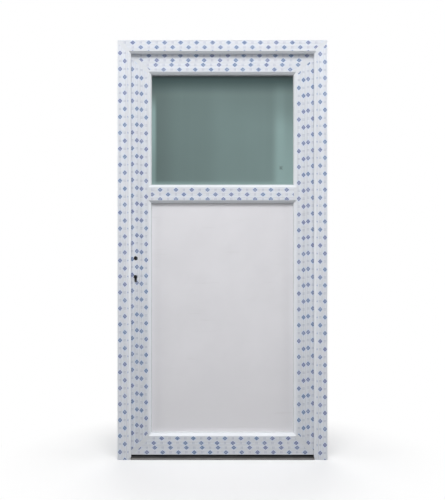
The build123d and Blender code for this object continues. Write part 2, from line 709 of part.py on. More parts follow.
# The hinges
HINGE_HEIGHTS = {
    "lower": HINGE_END_GAP,
    "middle": FRAME_HEIGHT / 2,
    "upper": FRAME_HEIGHT - HINGE_END_GAP,
}
HINGE_X = FRAME_WIDTH / 2 - HINGE_INSET
HINGE_DEPTH = LEAF_IN + HINGE_STANDOFF
FLANGE_X = LEAF_RECT[1] + FLANGE_WIDTH


def barrel(radius, z_0, z_1):
    """A cylinder on the hinge axis."""
    return Pos(HINGE_X, OUTER_Y + HINGE_DEPTH, (z_0 + z_1) / 2) * Cylinder(radius, z_1 - z_0)


def rounded_plate(x_0, x_1, depth_0, depth_1, height):
    """A hinge plate with rounded corners, standing on a profile's inner face."""
    plate = block(x_0, x_1, depth_0, depth_1, height - HINGE_LENGTH / 2, height + HINGE_LENGTH / 2)
    return fillet(plate.edges().filter_by(Axis.Y), HINGE_CORNER)


def hinge_frame_part(height):
    """The part on the frame: base, neck, middle knuckle and the pin."""
    base_0 = FLANGE_X + HINGE_SIDE_GAP
    base_end = FRAME_DEPTH + HINGE_BASE_THICKNESS
    half = KNUCKLE_LENGTH / 2
    pin = HINGE_LENGTH / 2 - KNUCKLE_CAP - KNUCKLE_GAP
    part = rounded_plate(base_0, base_0 + HINGE_BASE_WIDTH, FRAME_DEPTH, base_end, height)
    part += block(
        HINGE_X - HINGE_NECK / 2,
        HINGE_X + HINGE_NECK / 2,
        FRAME_DEPTH + EDGE_RADIUS,
        HINGE_DEPTH,
        height - half,
        height + half,
    )
    part += barrel(BARREL_RADIUS, height - half, height + half)
    return part + barrel(PIN_RADIUS, height - pin, height + pin)


def hinge_leaf_part(height):
    """The part on the leaf: plate, two arms and the outer knuckles, closed at their far ends."""
    plate_1 = FLANGE_X - FLANGE_BEVEL_WIDTH
    plate_end = LEAF_IN + HINGE_PLATE_THICKNESS
    near = KNUCKLE_LENGTH / 2 + KNUCKLE_GAP
    far = HINGE_LENGTH / 2
    part = rounded_plate(plate_1 - HINGE_PLATE_WIDTH, plate_1, LEAF_IN, plate_end, height)
    for side in (-1, 1):
        low, high = sorted((height + side * near, height + side * far))
        knuckle = barrel(BARREL_RADIUS, low, high)
        rim = knuckle.edges().filter_by(GeomType.CIRCLE).sort_by(Axis.Z)
        part += chamfer(rim[-1] if side > 0 else rim[0], CAP_CHAMFER)
        part += block(plate_1 - HINGE_CORNER, HINGE_X, LEAF_IN, plate_end, low, high)
    bore = HINGE_LENGTH / 2 - KNUCKLE_CAP
    return part - barrel(PIN_RADIUS + PIN_CLEARANCE, height - bore, height + bore)


def build_hinges():
    for name, height in HINGE_HEIGHTS.items():
        parts[f"{name}_hinge_frame_part"] = hinge_frame_part(height)
        parts[f"{name}_hinge_leaf_part"] = hinge_leaf_part(height)


build_frame()
build_reinforcement()
build_threshold()
build_leaf()
build_brush()
build_infills()
build_lock()
build_strike()
build_hinges()

os.makedirs("parts", exist_ok=True)
for node, solid in parts.items():
    export_step(solid, f"parts/{node}.step")
print(len(parts), "parts written")
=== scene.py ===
import math
import random

import bmesh
import bpy
from mathutils import Matrix, Vector, noise


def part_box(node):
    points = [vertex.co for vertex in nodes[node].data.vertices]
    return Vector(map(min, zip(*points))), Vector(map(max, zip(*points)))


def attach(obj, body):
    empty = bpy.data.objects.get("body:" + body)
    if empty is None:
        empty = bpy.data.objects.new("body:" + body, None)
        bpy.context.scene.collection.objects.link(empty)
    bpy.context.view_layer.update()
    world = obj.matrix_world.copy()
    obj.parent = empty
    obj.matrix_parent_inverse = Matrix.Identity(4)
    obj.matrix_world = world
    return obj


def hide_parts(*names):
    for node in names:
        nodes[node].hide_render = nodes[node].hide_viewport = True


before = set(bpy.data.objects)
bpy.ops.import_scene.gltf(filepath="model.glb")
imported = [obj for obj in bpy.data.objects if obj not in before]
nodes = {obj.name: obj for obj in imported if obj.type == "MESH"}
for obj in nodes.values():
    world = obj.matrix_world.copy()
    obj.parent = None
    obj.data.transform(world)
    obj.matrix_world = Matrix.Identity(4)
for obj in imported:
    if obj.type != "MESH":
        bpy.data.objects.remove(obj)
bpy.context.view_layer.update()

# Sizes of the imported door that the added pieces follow, in metres
FRAME_RECT = (-0.5, 0.5, 0.0, 2.0)
LEAF_RECT = (-0.446, 0.446, 0.016, 1.946)
FRAME_OUTER_Y = -0.035
FRAME_INNER_Y = 0.035
LEAF_OUTER_Y = -0.011
LEAF_INNER_Y = 0.059
FRAME_OUTER_FLAT = 0.052
FRAME_INNER_FLAT = 0.033
LEAF_OUTER_FLAT = 0.090
LEAF_INNER_FLAT = (-0.008, 0.078)
LEAF_BEVEL = 0.012
MID_RAIL_Z = 1.270
MID_RAIL_OUTER = 0.0315
MID_RAIL_INNER = 0.0195
LOCK_X = -0.418
SPINDLE_Z = 0.960
CYLINDER_Z = 0.870
HINGE_HEIGHTS = {"lower": 0.24, "middle": 1.0, "upper": 1.76}
HINGE_HALF = 0.05
RIB_TOP = 0.0102
CHANNEL_FOOT = 0.0091


class Nodes:
    """A material's node tree, with short calls for the nodes that the finishes use."""

    def __init__(self, name):
        self.material = bpy.data.materials.new(name)
        self.material.use_nodes = True
        self.tree = self.material.node_tree
        self.tree.nodes.clear()
        output = self.add("ShaderNodeOutputMaterial")
        self.shader = self.add("ShaderNodeBsdfPrincipled")
        self.tree.links.new(self.shader.outputs[0], output.inputs["Surface"])

    def add(self, kind, **settings):
        node = self.tree.nodes.new(kind)
        for key, value in settings.items():
            setattr(node, key, value)
        return node

    def put(self, socket, value):
        """Sets a socket to a number or colour, or links it to another socket."""
        if isinstance(value, bpy.types.NodeSocket):
            self.tree.links.new(value, socket)
        elif isinstance(value, tuple) and len(value) == 3 and socket.type == "RGBA":
            socket.default_value = (*value, 1.0)
        else:
            socket.default_value = value

    def set(self, **values):
        """Sets sockets of the shader, with underscores for the spaces in their names."""
        for key, value in values.items():
            self.put(self.shader.inputs[key.replace("_", " ")], value)

    def coords(self, kind="Object"):
        return self.add("ShaderNodeTexCoord").outputs[kind]

    def split(self, vector):
        node = self.add("ShaderNodeSeparateXYZ")
        self.put(node.inputs[0], vector)
        return node.outputs

    def scaled(self, vector, scale):
        node = self.add("ShaderNodeMapping")
        self.put(node.inputs["Vector"], vector)
        node.inputs["Scale"].default_value = scale
        return node.outputs[0]

    def noise(self, vector, scale, detail=3.0, roughness=0.55):
        node = self.add("ShaderNodeTexNoise")
        self.put(node.inputs["Vector"], vector)
        self.put(node.inputs["Scale"], scale)
        self.put(node.inputs["Detail"], detail)
        self.put(node.inputs["Roughness"], roughness)
        return node.outputs[0]

    def cells(self, vector, scale):
        node = self.add("ShaderNodeTexVoronoi")
        self.put(node.inputs["Vector"], vector)
        self.put(node.inputs["Scale"], scale)
        return node.outputs["Color"]

    def math(self, operation, first, second=0.0, clamp=False):
        node = self.add("ShaderNodeMath", operation=operation, use_clamp=clamp)
        self.put(node.inputs[0], first)
        self.put(node.inputs[1], second)
        return node.outputs[0]

    def times(self, first, second):
        return self.math("MULTIPLY", first, second)

    def off(self, value, centre):
        """How far a value is from a centre."""
        return self.math("ABSOLUTE", self.math("SUBTRACT", value, centre))

    def fade(self, value, low, high, to_low=0.0, to_high=1.0):
        """A smooth step of value from to_low at low to to_high at high."""
        node = self.add("ShaderNodeMapRange", interpolation_type="SMOOTHSTEP")
        numbers = (value, low, high, to_low, to_high)
        for socket, number in zip(node.inputs[:5], numbers):
            self.put(socket, number)
        return node.outputs[0]

    def mix(self, factor, first, second):
        node = self.add("ShaderNodeMix", data_type="RGBA")
        self.put(node.inputs[0], factor)
        self.put(node.inputs[6], first)
        self.put(node.inputs[7], second)
        return node.outputs[2]

    def bump(self, height, distance, strength=1.0, normal=None):
        node = self.add("ShaderNodeBump")
        self.put(node.inputs["Height"], height)
        self.put(node.inputs["Distance"], distance)
        self.put(node.inputs["Strength"], strength)
        if normal:
            self.put(node.inputs["Normal"], normal)
        return node.outputs[0]


def shade(colour, factor):
    return tuple(min(1.0, part * factor) for part in colour)


def stretch(along, length, across):
    """Scales that draw a texture out along one axis."""
    return tuple(length if axis == along else across for axis in "XYZ")


# Finishes, as linear colours
PVC = (0.790, 0.815, 0.860)
BEAD = (0.790, 0.810, 0.845)
FILM = (0.805, 0.838, 0.900)
FILM_GREYED = (0.830, 0.828, 0.865)
INK_BLUE = (0.050, 0.140, 0.330)
INK_VIOLET = (0.085, 0.105, 0.300)
INK_PALE = (0.640, 0.750, 0.960)
PANEL = (0.868, 0.861, 0.893)
GLASS = (0.240, 0.344, 0.334)
# GLASS_PAINTED_SHADOW is the colour of the shadow painted across the top of the pane
GLASS_PAINTED_SHADOW = (0.028, 0.072, 0.072)
SMUDGE = (0.035, 0.045, 0.045)
SEAL_LIGHT = (0.580, 0.595, 0.615)
SEAL_DARK = (0.170, 0.175, 0.185)
DUST = (0.420, 0.400, 0.370)
TREAD = (0.016, 0.016, 0.017)
TREAD_SCUFF = (0.060, 0.060, 0.058)
TREAD_DUST = (0.200, 0.190, 0.175)
ALUMINIUM = (0.200, 0.198, 0.194)
# THRESHOLD_PAINTED_SHADE is the near black of the shade painted on the threshold's upper part
THRESHOLD_PAINTED_SHADE = (0.030, 0.029, 0.028)
CASE_STEEL = (0.110, 0.108, 0.105)
PLATE_STEEL = (0.400, 0.400, 0.402)
BOLT_NICKEL = (0.460, 0.450, 0.430)
SCREW_ZINC = (0.420, 0.420, 0.425)
SPANGLE_DARK = (0.400, 0.415, 0.430)
SPANGLE_LIGHT = (0.640, 0.655, 0.670)
ZINC_BLOOM = (0.700, 0.700, 0.690)
HINGE_WHITE = (0.770, 0.785, 0.810)
PILE_DARK = (0.050, 0.050, 0.052)
PILE_LIGHT = (0.130, 0.128, 0.125)
PILE_DUST = (0.200, 0.195, 0.185)
SPACER_DARK = (0.560, 0.570, 0.580)
SPACER_LIGHT = (0.680, 0.690, 0.700)
# VENT_PAINTED_SHADE is the near black painted for the shade inside the vent holes
VENT_PAINTED_SHADE = (0.030, 0.030, 0.030)


def pvc(name, along, colour=PVC):
    """White PVC with die lines along the extrusion, a faint mottle and a fine satin grain."""
    n = Nodes(name)
    at = n.coords()
    lines = n.noise(n.scaled(at, stretch(along, 1.2, 380.0)), 1.0)
    mottle = n.noise(at, 6.0, 5.0)
    grain = n.noise(at, 1400.0, 2.0)
    colour_lines = n.mix(n.fade(lines, 0.32, 0.68), shade(colour, 0.965), shade(colour, 1.015))
    soiled = n.fade(mottle, 0.50, 0.78, 0.0, 0.10)
    n.set(Base_Color=n.mix(soiled, colour_lines, DUST))
    n.set(Roughness=n.fade(mottle, 0.30, 0.70, 0.30, 0.42))
    height = n.bump(lines, 0.00006, 0.6)
    n.set(Normal=n.bump(grain, 0.00002, 0.5, height), IOR=1.53)
    return n.material


# The film's print and stripes, in metres
PRINT_PITCH = 0.076
PRINT_COLUMN = 0.0225
DIAMOND_HALF_LENGTH = 0.0112
DIAMOND_HALF_WIDTH = 0.0098
BAR_OFFSET = 0.0030
BAR_HALF_WIDTH = 0.0011
BAR_HALF_LENGTH = 0.0053
BAR_STRENGTH = 0.35
EDGE_BLUR = 0.0005
STRIPE_PITCH = 0.0078


def film_print(n, along, across):
    """A generic print: diamond rings in a half-drop layout, with pairs of short bars, and a pale halo."""
    line = n.math("FLOOR", n.math("DIVIDE", across, PRINT_COLUMN))
    drop = n.times(n.math("MODULO", line, 2.0), 0.5)
    turn = n.math("ADD", n.math("DIVIDE", along, PRINT_PITCH), drop)

    def cell(value, size):
        return n.times(n.off(n.math("FRACT", value), 0.5), size)

    long_way = cell(turn, PRINT_PITCH)
    wide_way = cell(n.math("DIVIDE", across, PRINT_COLUMN), PRINT_COLUMN)
    reach_long = n.math("DIVIDE", long_way, DIAMOND_HALF_LENGTH)
    reach_wide = n.math("DIVIDE", wide_way, DIAMOND_HALF_WIDTH)
    reach = n.math("ADD", reach_long, reach_wide)
    rim = n.times(n.fade(reach, 0.50, 0.57), n.fade(reach, 1.02, 0.95))
    heart = n.fade(reach, 0.38, 0.31)
    half_way = cell(n.math("ADD", turn, 0.5), PRINT_PITCH)
    bar = n.fade(n.off(half_way, BAR_OFFSET), BAR_HALF_WIDTH + 0.8 * EDGE_BLUR, BAR_HALF_WIDTH)
    bar = n.times(bar, n.fade(wide_way, BAR_HALF_LENGTH + EDGE_BLUR, BAR_HALF_LENGTH))
    halo = n.fade(reach, 1.80, 1.05, 0.0, 0.55)
    diamond = n.math("ADD", rim, heart)
    return n.math("ADD", diamond, n.times(bar, BAR_STRENGTH), clamp=True), halo


def film(name):
    """Printed protective film: satin polythene with long stripes and streaks, creases and a worn print."""
    n = Nodes(name)
    at = n.coords()
    flat = n.coords("UV")
    along, across, _ = n.split(flat)
    printed, halo = film_print(n, along, across)
    wear = n.noise(at, 38.0, 4.0)
    ink = n.mix(n.fade(n.noise(at, 7.0, 2.0), 0.40, 0.60), INK_BLUE, INK_VIOLET)
    streaks = n.noise(n.scaled(flat, (0.9, 130.0, 1.0)), 1.0, 2.0)
    base = n.mix(n.fade(streaks, 0.40, 0.60), shade(FILM, 0.915), shade(FILM, 1.04))
    stripe = n.off(n.math("FRACT", n.math("DIVIDE", across, STRIPE_PITCH)), 0.5)
    base = n.mix(n.fade(stripe, 0.10, 0.04, 0.0, 0.55), base, shade(FILM, 0.93))
    base = n.mix(n.fade(n.noise(at, 11.0, 3.0), 0.35, 0.70, 0.0, 0.35), base, FILM_GREYED)
    base = n.mix(halo, base, INK_PALE)
    held = n.times(printed, n.fade(wear, 0.25, 0.55, 0.72, 0.98))
    n.set(Base_Color=n.mix(held, base, ink))
    n.set(Roughness=n.fade(wear, 0.30, 0.70, 0.26, 0.44), IOR=1.50, Specular_IOR_Level=0.45)
    creases = n.noise(n.scaled(at, (60.0, 60.0, 22.0)), 1.0, 5.0, 0.6)
    n.set(Normal=n.bump(creases, 0.00025, 0.55))
    return n.material


# Where the smudge is on the glass, in metres
SMUDGE_X = 0.283
SMUDGE_Z = 1.397


def frosted_glass(name):
    """Grey-green satin glass, uneven frosting and one dark smudge; painted shade at the top, left and top
    right, a painted reflection on the right, lighter left and bottom edges.
    """
    n = Nodes(name)
    at = n.coords()
    x, _, z = n.split(at)
    clouds = n.noise(n.scaled(at, (2.4, 2.4, 2.0)), 1.0, 3.0)
    streaks = n.noise(n.scaled(at, (18.0, 18.0, 0.7)), 1.0, 2.0)
    # painted shade: the top right of the pane darker
    painted_shade_top_right = n.times(n.fade(x, -0.20, 0.12), n.fade(z, 1.60, 1.79, 0.0, 0.24))
    # painted reflection: the right part of the pane lighter, more so lower down
    painted_reflection_band = n.times(n.fade(x, 0.232, 0.276), n.fade(z, 1.71, 1.57, 0.25, 0.72))
    # painted shade: the right edge of the pane darker towards the top
    painted_shade_right_edge = n.times(n.fade(x, 0.285, 0.318), n.fade(z, 1.38, 1.72, 0.0, 0.35))
    # a lighter strip along the pane's left edge
    lighter_left_edge = n.times(n.fade(z, 1.765, 1.66), n.fade(z, 1.33, 1.62, 0.55, 0.90))
    lighter_left_edge = n.times(n.fade(x, -0.314, -0.332), lighter_left_edge)
    wobble = n.times(n.math("SUBTRACT", n.noise(at, 120.0, 3.0), 0.5), 0.014)
    away = n.math("MAXIMUM", n.off(x, SMUDGE_X), n.off(z, SMUDGE_Z))
    away = n.math("ADD", away, wobble)
    layers = (
        (n.fade(streaks, 0.52, 0.75, 0.0, 0.10), shade(GLASS, 1.4)),
        # painted shade: the pane darker towards its left side, darkest near the left edge
        (n.fade(x, 0.0, -0.085, 0.0, 0.28), shade(GLASS, 0.55)),
        (n.fade(x, -0.20, -0.305, 0.0, 0.42), shade(GLASS, 0.48)),
        # painted shade: the pane darkens slowly towards its top
        (n.fade(z, 1.52, 1.76, 0.0, 0.16), shade(GLASS, 0.5)),
        (painted_shade_top_right, shade(GLASS, 0.4)),
        (painted_reflection_band, shade(GLASS, 1.75)),
        (painted_shade_right_edge, shade(GLASS, 0.7)),
        (lighter_left_edge, shade(GLASS, 1.65)),
        # painted shadow: the top of the pane turns dark under the top rail, darkest at the very top
        (n.fade(z, 1.742, 1.825, 0.0, 0.92), GLASS_PAINTED_SHADOW),
        (n.fade(z, 1.800, 1.840, 0.0, 0.20), shade(GLASS_PAINTED_SHADOW, 0.4)),
        # a lighter strip along the pane's bottom edge
        (n.fade(z, 1.338, 1.318, 0.0, 0.70), shade(GLASS, 1.55)),
        (n.fade(away, 0.012, 0.002, 0.0, 0.48), SMUDGE),
    )
    colour = n.mix(n.fade(clouds, 0.30, 0.70), shade(GLASS, 0.95), shade(GLASS, 1.05))
    for amount, tone in layers:
        colour = n.mix(amount, colour, tone)
    n.set(Base_Color=colour, Roughness=n.fade(clouds, 0.30, 0.70, 0.34, 0.46))
    n.set(Transmission_Weight=0.30, IOR=1.52, Specular_IOR_Level=0.25)
    n.set(Normal=n.bump(n.noise(at, 700.0, 2.0), 0.00005, 0.35))
    return n.material


def panel_skin(name):
    """The panel's matt white skin, with a fine grain, faint scuffs, and greyer towards the foot."""
    n = Nodes(name)
    at = n.coords()
    z = n.split(at)[2]
    mottle = n.noise(at, 4.0, 4.0)
    scuffs = n.noise(n.scaled(at, (5.0, 5.0, 60.0)), 1.0, 4.0)
    colour = n.mix(n.fade(mottle, 0.30, 0.70), shade(PANEL, 0.975), shade(PANEL, 1.02))
    colour = n.mix(n.fade(scuffs, 0.62, 0.80, 0.0, 0.10), colour, DUST)
    # the skin turns unevenly greyer towards the foot
    foot = n.times(n.fade(z, 0.55, 0.12), n.fade(mottle, 0.30, 0.65, 0.01, 0.08))
    n.set(Base_Color=n.mix(foot, colour, DUST))
    n.set(Roughness=n.fade(mottle, 0.30, 0.70, 0.42, 0.55), IOR=1.50)
    n.set(Normal=n.bump(n.noise(at, 1100.0, 3.0), 0.00003, 0.6))
    return n.material


def rubber(name, colour):
    """Extruded seal rubber, matt with a dusty bloom."""
    n = Nodes(name)
    at = n.coords()
    bloom = n.noise(at, 45.0, 5.0)
    n.set(Base_Color=n.mix(n.fade(bloom, 0.40, 0.75, 0.0, 0.30), colour, DUST))
    n.set(Roughness=n.fade(bloom, 0.30, 0.70, 0.55, 0.75), IOR=1.52)
    n.set(Normal=n.bump(n.noise(at, 650.0, 2.0), 0.00005, 0.5))
    return n.material


def tread_rubber(name):
    """Black ribbed tread with pale dust in its channels and scuffed rib tops."""
    n = Nodes(name)
    at = n.coords()
    z = n.split(at)[2]
    dirt = n.noise(at, 28.0, 5.0, 0.65)
    low = n.times(n.fade(z, RIB_TOP, CHANNEL_FOOT), n.fade(dirt, 0.38, 0.70, 0.05, 0.55))
    scuff = n.noise(n.scaled(at, (9.0, 140.0, 140.0)), 1.0, 4.0)
    colour = n.mix(n.fade(scuff, 0.55, 0.78, 0.0, 0.5), TREAD, TREAD_SCUFF)
    n.set(Base_Color=n.mix(low, colour, TREAD_DUST))
    n.set(Roughness=n.fade(dirt, 0.30, 0.70, 0.48, 0.75))
    n.set(Normal=n.bump(n.noise(at, 500.0, 3.0), 0.00008, 0.6))
    return n.material


# Painted shade darkens the threshold from this height up, over this rise, in metres
SHADE_FROM = 0.0060
SHADE_RISE = 0.003


def brushed_metal(name, along, colour, roughness, shade_from=None):
    """Metal drawn or brushed along one axis, with scuffs, thin dust and, if asked, painted shade above a
    height.
    """
    n = Nodes(name)
    at = n.coords()
    lines = n.noise(n.scaled(at, stretch(along, 5.0, 900.0)), 1.0, 4.0, 0.65)
    wear = n.noise(at, 24.0, 5.0, 0.6)
    tone = n.mix(n.fade(lines, 0.30, 0.70), shade(colour, 0.86), shade(colour, 1.08))
    tone = n.mix(n.fade(wear, 0.52, 0.80, 0.0, 0.22), tone, DUST)
    if shade_from:
        # painted shade: near black above a height, for the dark band of shade under the leaf
        painted_shade = n.fade(n.split(at)[2], shade_from, shade_from + SHADE_RISE, 0.0, 0.92)
        tone = n.mix(painted_shade, tone, THRESHOLD_PAINTED_SHADE)
    n.set(Base_Color=tone, Metallic=1.0)
    n.set(Roughness=n.fade(wear, 0.30, 0.72, roughness, roughness + 0.16))
    n.set(Normal=n.bump(lines, 0.00003, 0.6))
    return n.material


def galvanised(name):
    """Zinc-coated steel with its crystal spangle."""
    n = Nodes(name)
    at = n.coords()
    spangle = n.split(n.cells(at, 130.0))[0]
    bloom = n.noise(at, 18.0, 4.0)
    tone = n.mix(spangle, SPANGLE_DARK, SPANGLE_LIGHT)
    n.set(Base_Color=n.mix(n.fade(bloom, 0.52, 0.80, 0.0, 0.35), tone, ZINC_BLOOM))
    n.set(Metallic=0.9, Roughness=n.fade(spangle, 0.0, 1.0, 0.32, 0.52))
    n.set(Normal=n.bump(spangle, 0.00003, 0.4))
    return n.material


def powder_coat(name, colour):
    """White powder coat with its orange-peel skin and a little soiling."""
    n = Nodes(name)
    at = n.coords()
    peel = n.noise(at, 420.0, 2.0)
    soil = n.noise(at, 30.0, 5.0)
    n.set(Base_Color=n.mix(n.fade(soil, 0.52, 0.80, 0.0, 0.14), colour, DUST))
    n.set(Roughness=n.fade(soil, 0.30, 0.70, 0.26, 0.40), IOR=1.52)
    n.set(Normal=n.bump(peel, 0.00012, 0.5))
    return n.material


def pile(name):
    """Dark brush pile, a little different from one bristle to the next."""
    n = Nodes(name)
    each = n.add("ShaderNodeNewGeometry").outputs["Random Per Island"]
    along = n.noise(n.coords(), 900.0, 2.0)
    colour = n.mix(each, PILE_DARK, PILE_LIGHT)
    n.set(Base_Color=n.mix(n.fade(along, 0.40, 0.70, 0.0, 0.4), colour, PILE_DUST))
    n.set(Roughness=n.fade(along, 0.30, 0.70, 0.50, 0.68))
    return n.material


# The vent holes in the bar between the panes, in metres
VENTS_PER_METRE = 400.0
SPACER_MIDDLE_Y = 0.022
VENT_ROW_OFFSET = 0.0042


def spacer_metal(name):
    """The hollow bar between the panes, with two rows of vent holes on the side of the cavity, drawn as dots
    of painted shade.
    """
    n = Nodes(name)
    at = n.coords()
    x, y, z = n.split(at)
    run = n.times(n.math("ADD", x, z), VENTS_PER_METRE)
    dots = n.off(n.math("FRACT", run), 0.5)
    rows = n.off(n.off(y, SPACER_MIDDLE_Y), VENT_ROW_OFFSET)
    # painted shade: dark dots where the vent holes are, for the shade inside them
    vent_shade = n.times(n.fade(dots, 0.20, 0.14), n.fade(rows, 0.0006, 0.0004))
    mill = n.noise(n.scaled(at, (40.0, 900.0, 40.0)), 1.0)
    tone = n.mix(n.fade(mill, 0.30, 0.70), SPACER_DARK, SPACER_LIGHT)
    n.set(Base_Color=n.mix(vent_shade, tone, VENT_PAINTED_SHADE), Metallic=0.9)
    n.set(Roughness=n.fade(mill, 0.30, 0.70, 0.34, 0.46))
    return n.material


FINISHES = {
    "upright": pvc("pvc_upright", "Z"),
    "level": pvc("pvc_level", "X"),
    "bead_upright": pvc("bead_upright", "Z", BEAD),
    "bead_level": pvc("bead_level", "X", BEAD),
    "film": film("printed_film"),
    "glass": frosted_glass("frosted_glass"),
    "panel": panel_skin("panel_skin"),
    "seal_light": rubber("glazing_rubber", SEAL_LIGHT),
    "seal_dark": rubber("seal_rubber", SEAL_DARK),
    "tread": tread_rubber("tread_rubber"),
    "aluminium": brushed_metal("threshold_aluminium", "X", ALUMINIUM, 0.45, SHADE_FROM),
    "case": brushed_metal("case_steel", "Z", CASE_STEEL, 0.42),
    "steel": brushed_metal("plate_steel", "Z", PLATE_STEEL, 0.28),
    "bolt": brushed_metal("bolt_nickel", "X", BOLT_NICKEL, 0.22),
    "screw": brushed_metal("screw_zinc", "Y", SCREW_ZINC, 0.28),
    "galvanised": galvanised("galvanised_steel"),
    "hinge": powder_coat("hinge_powder_coat", HINGE_WHITE),
    "pile": pile("brush_pile"),
    "spacer": spacer_metal("spacer_metal"),
}

NODE_FINISHES = {
    "upright": ("frame_lock_jamb", "frame_hinge_jamb", "leaf_lock_stile", "leaf_hinge_stile"),
    "level": ("frame_head", "leaf_top_rail", "leaf_bottom_rail", "leaf_mid_rail"),
    "bead_upright": ("upper_bead_left", "upper_bead_right", "lower_bead_left", "lower_bead_right"),
    "bead_level": ("upper_bead_top", "upper_bead_bottom", "lower_bead_top", "lower_bead_bottom"),
    "glass": ("glass_outer_pane", "glass_inner_pane"),
    "spacer": ("glass_spacer",),
    "panel": ("lower_panel",),
    "seal_light": ("upper_outer_seal", "upper_inner_seal", "lower_outer_seal", "lower_inner_seal"),
    "seal_dark": ("frame_seal", "leaf_seal"),
    "tread": ("threshold_tread",),
    "aluminium": ("threshold_rail",),
    "steel": ("strike_plate", "lock_faceplate"),
    "bolt": ("latch_bolt", "dead_bolt"),
    "galvanised": ("jamb_reinforcement",),
    "case": ("lock_case",),
    "pile": ("bottom_brush",),
    "hinge": tuple(f"{name}_hinge_{part}_part" for name in HINGE_HEIGHTS for part in ("frame", "leaf")),
}


def finish_nodes():
    """Gives each CAD node its finish, and leaves its shape as it is."""
    for finish, names in NODE_FINISHES.items():
        for name in names:
            node = nodes[name]
            if not node.material_slots:
                node.data.materials.append(None)
            for slot in node.material_slots:
                slot.material = FINISHES[finish]


def new_object(name, bm):
    mesh = bpy.data.meshes.new(name)
    bmesh.ops.recalc_face_normals(bm, faces=bm.faces)
    bm.to_mesh(mesh)
    bm.free()
    piece = bpy.data.objects.new(name, mesh)
    bpy.context.collection.objects.link(piece)
    return piece


def dress(piece, finish, body):
    """Gives a new piece its finish and the body that it goes with."""
    piece.data.materials.clear()
    piece.data.materials.append(FINISHES[finish])
    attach(piece, body)


def cut(piece, cutter):
    """Takes a cutter's shape out of a piece, and the cutter out of the scene."""
    modifier = piece.modifiers.new("cut", "BOOLEAN")
    modifier.operation = "DIFFERENCE"
    modifier.solver = "EXACT"
    modifier.object = cutter
    bpy.context.view_layer.update()
    evaluated = piece.evaluated_get(bpy.context.evaluated_depsgraph_get())
    mesh = bpy.data.meshes.new_from_object(evaluated)
    piece.modifiers.clear()
    piece.data = mesh
    bpy.data.objects.remove(cutter)


def prism(bm, points, direction):
    """A closed prism over a polygon."""
    low = [bm.verts.new(point) for point in points]
    high = [bm.verts.new(Vector(point) + Vector(direction)) for point in points]
    bm.faces.new(low)
    bm.faces.new(reversed(high))
    for index in range(len(low)):
        after = (index + 1) % len(low)
        bm.faces.new((low[index], low[after], high[after], high[index]))


# Printed film on the flat faces: sizes in metres, and noise as its two scales and an offset
FILM_STEP = 0.018
FILM_SHARES = (0.0, 0.04, 0.35, 0.65, 0.96, 1.0)
FILM_SEAT = 0.00004
FILM_LIFT = 0.00022
FILM_WAVE = 0.00010
FILM_EDGE_LIFT = 0.00015
FILM_WOBBLE = 0.0004
FILM_MARGIN = 0.001
FILM_MITRE_GAP = 0.015
FILM_JOINT = 0.001
BORDER_NOISE = (21.0, 90.0, 0.0)
END_NOISE = (160.0, 1.0, 7.0)
WAVE_NOISE = (17.0, 70.0, 3.0)
CURL_NOISE = (5.0, 40.0, 11.0)


def film_strip(bm, place, across, ends, phase):
    """A thin closed strip over a face.

    place(s, t, lift) gives the point that is s along the face, t across it and lifted off it,
    and ends(t) gives where the strip starts and stops.
    """
    layer = bm.loops.layers.uv.verify()

    def rough(kind, first, second):
        first_scale, second_scale, offset = kind
        return noise.noise((first * first_scale, second * second_scale, phase + offset))

    t_0, t_1 = across
    first, last = ends(t_0)
    count = max(2, round((last - first) / FILM_STEP))
    flat = {}
    sides = []
    for lifted in (True, False):
        grid = []
        for step in range(count + 1):
            row = []
            for column, share in enumerate(FILM_SHARES):
                t = t_0 + (t_1 - t_0) * share
                start, stop = ends(t)
                s = start + (stop - start) * step / count
                border = column in (0, len(FILM_SHARES) - 1)
                cut_end = step in (0, count)
                t += FILM_WOBBLE * border * rough(BORDER_NOISE, s, t)
                s += 2 * FILM_WOBBLE * cut_end * rough(END_NOISE, t, s)
                wave = FILM_WAVE * rough(WAVE_NOISE, s, t)
                curl = FILM_EDGE_LIFT * max(0.0, rough(CURL_NOISE, s, t))
                lift = FILM_LIFT + wave + curl * (border or cut_end) if lifted else FILM_SEAT
                vertex = bm.verts.new(place(s, t, lift))
                flat[vertex] = (s + phase, t - t_0)
                row.append(vertex)
            grid.append(row)
        sides.append(grid)
    faces = []
    for grid in sides:
        for near, far in zip(grid, grid[1:]):
            for index in range(len(near) - 1):
                faces.append((near[index], near[index + 1], far[index + 1], far[index]))
    top, under = sides

    def loop(grid):
        right = [row[-1] for row in grid[1:-1]]
        left = [row[0] for row in reversed(grid[1:-1])]
        return grid[0] + right + list(reversed(grid[-1])) + left

    outer, inner = loop(top), loop(under)
    for index in range(len(outer)):
        after = (index + 1) % len(outer)
        faces.append((outer[index], outer[after], inner[after], inner[index]))
    for corners in faces:
        face = bm.faces.new(corners)
        for corner in face.loops:
            corner[layer].uv = flat[corner.vert]


def placer(rect, side, face, facing):
    """Where a point lies that is s along a side of a rectangle, t inward from it and lifted off the face."""
    left, right, bottom, top = rect
    spots = {
        "left": lambda s, t: (left + t, s),
        "right": lambda s, t: (right - t, s),
        "top": lambda s, t: (s, top - t),
        "bottom": lambda s, t: (s, bottom + t),
    }
    spot = spots[side]

    def place(s, t, lift):
        x, z = spot(s, t)
        return (x, face + facing * lift, z)

    return place


def strips(first, last, count):
    """Shares a face's width between a number of strips."""
    width = (last - first - 2 * FILM_MARGIN - (count - 1) * FILM_JOINT) / count
    starts = [first + FILM_MARGIN + index * (width + FILM_JOINT) for index in range(count)]
    return [(start, start + width) for start in starts]


def seamed(first, last, seam):
    """Two strips over a face's width that meet at a seam."""
    return [(first + FILM_MARGIN, seam - FILM_JOINT / 2), (seam + FILM_JOINT / 2, last - FILM_MARGIN)]


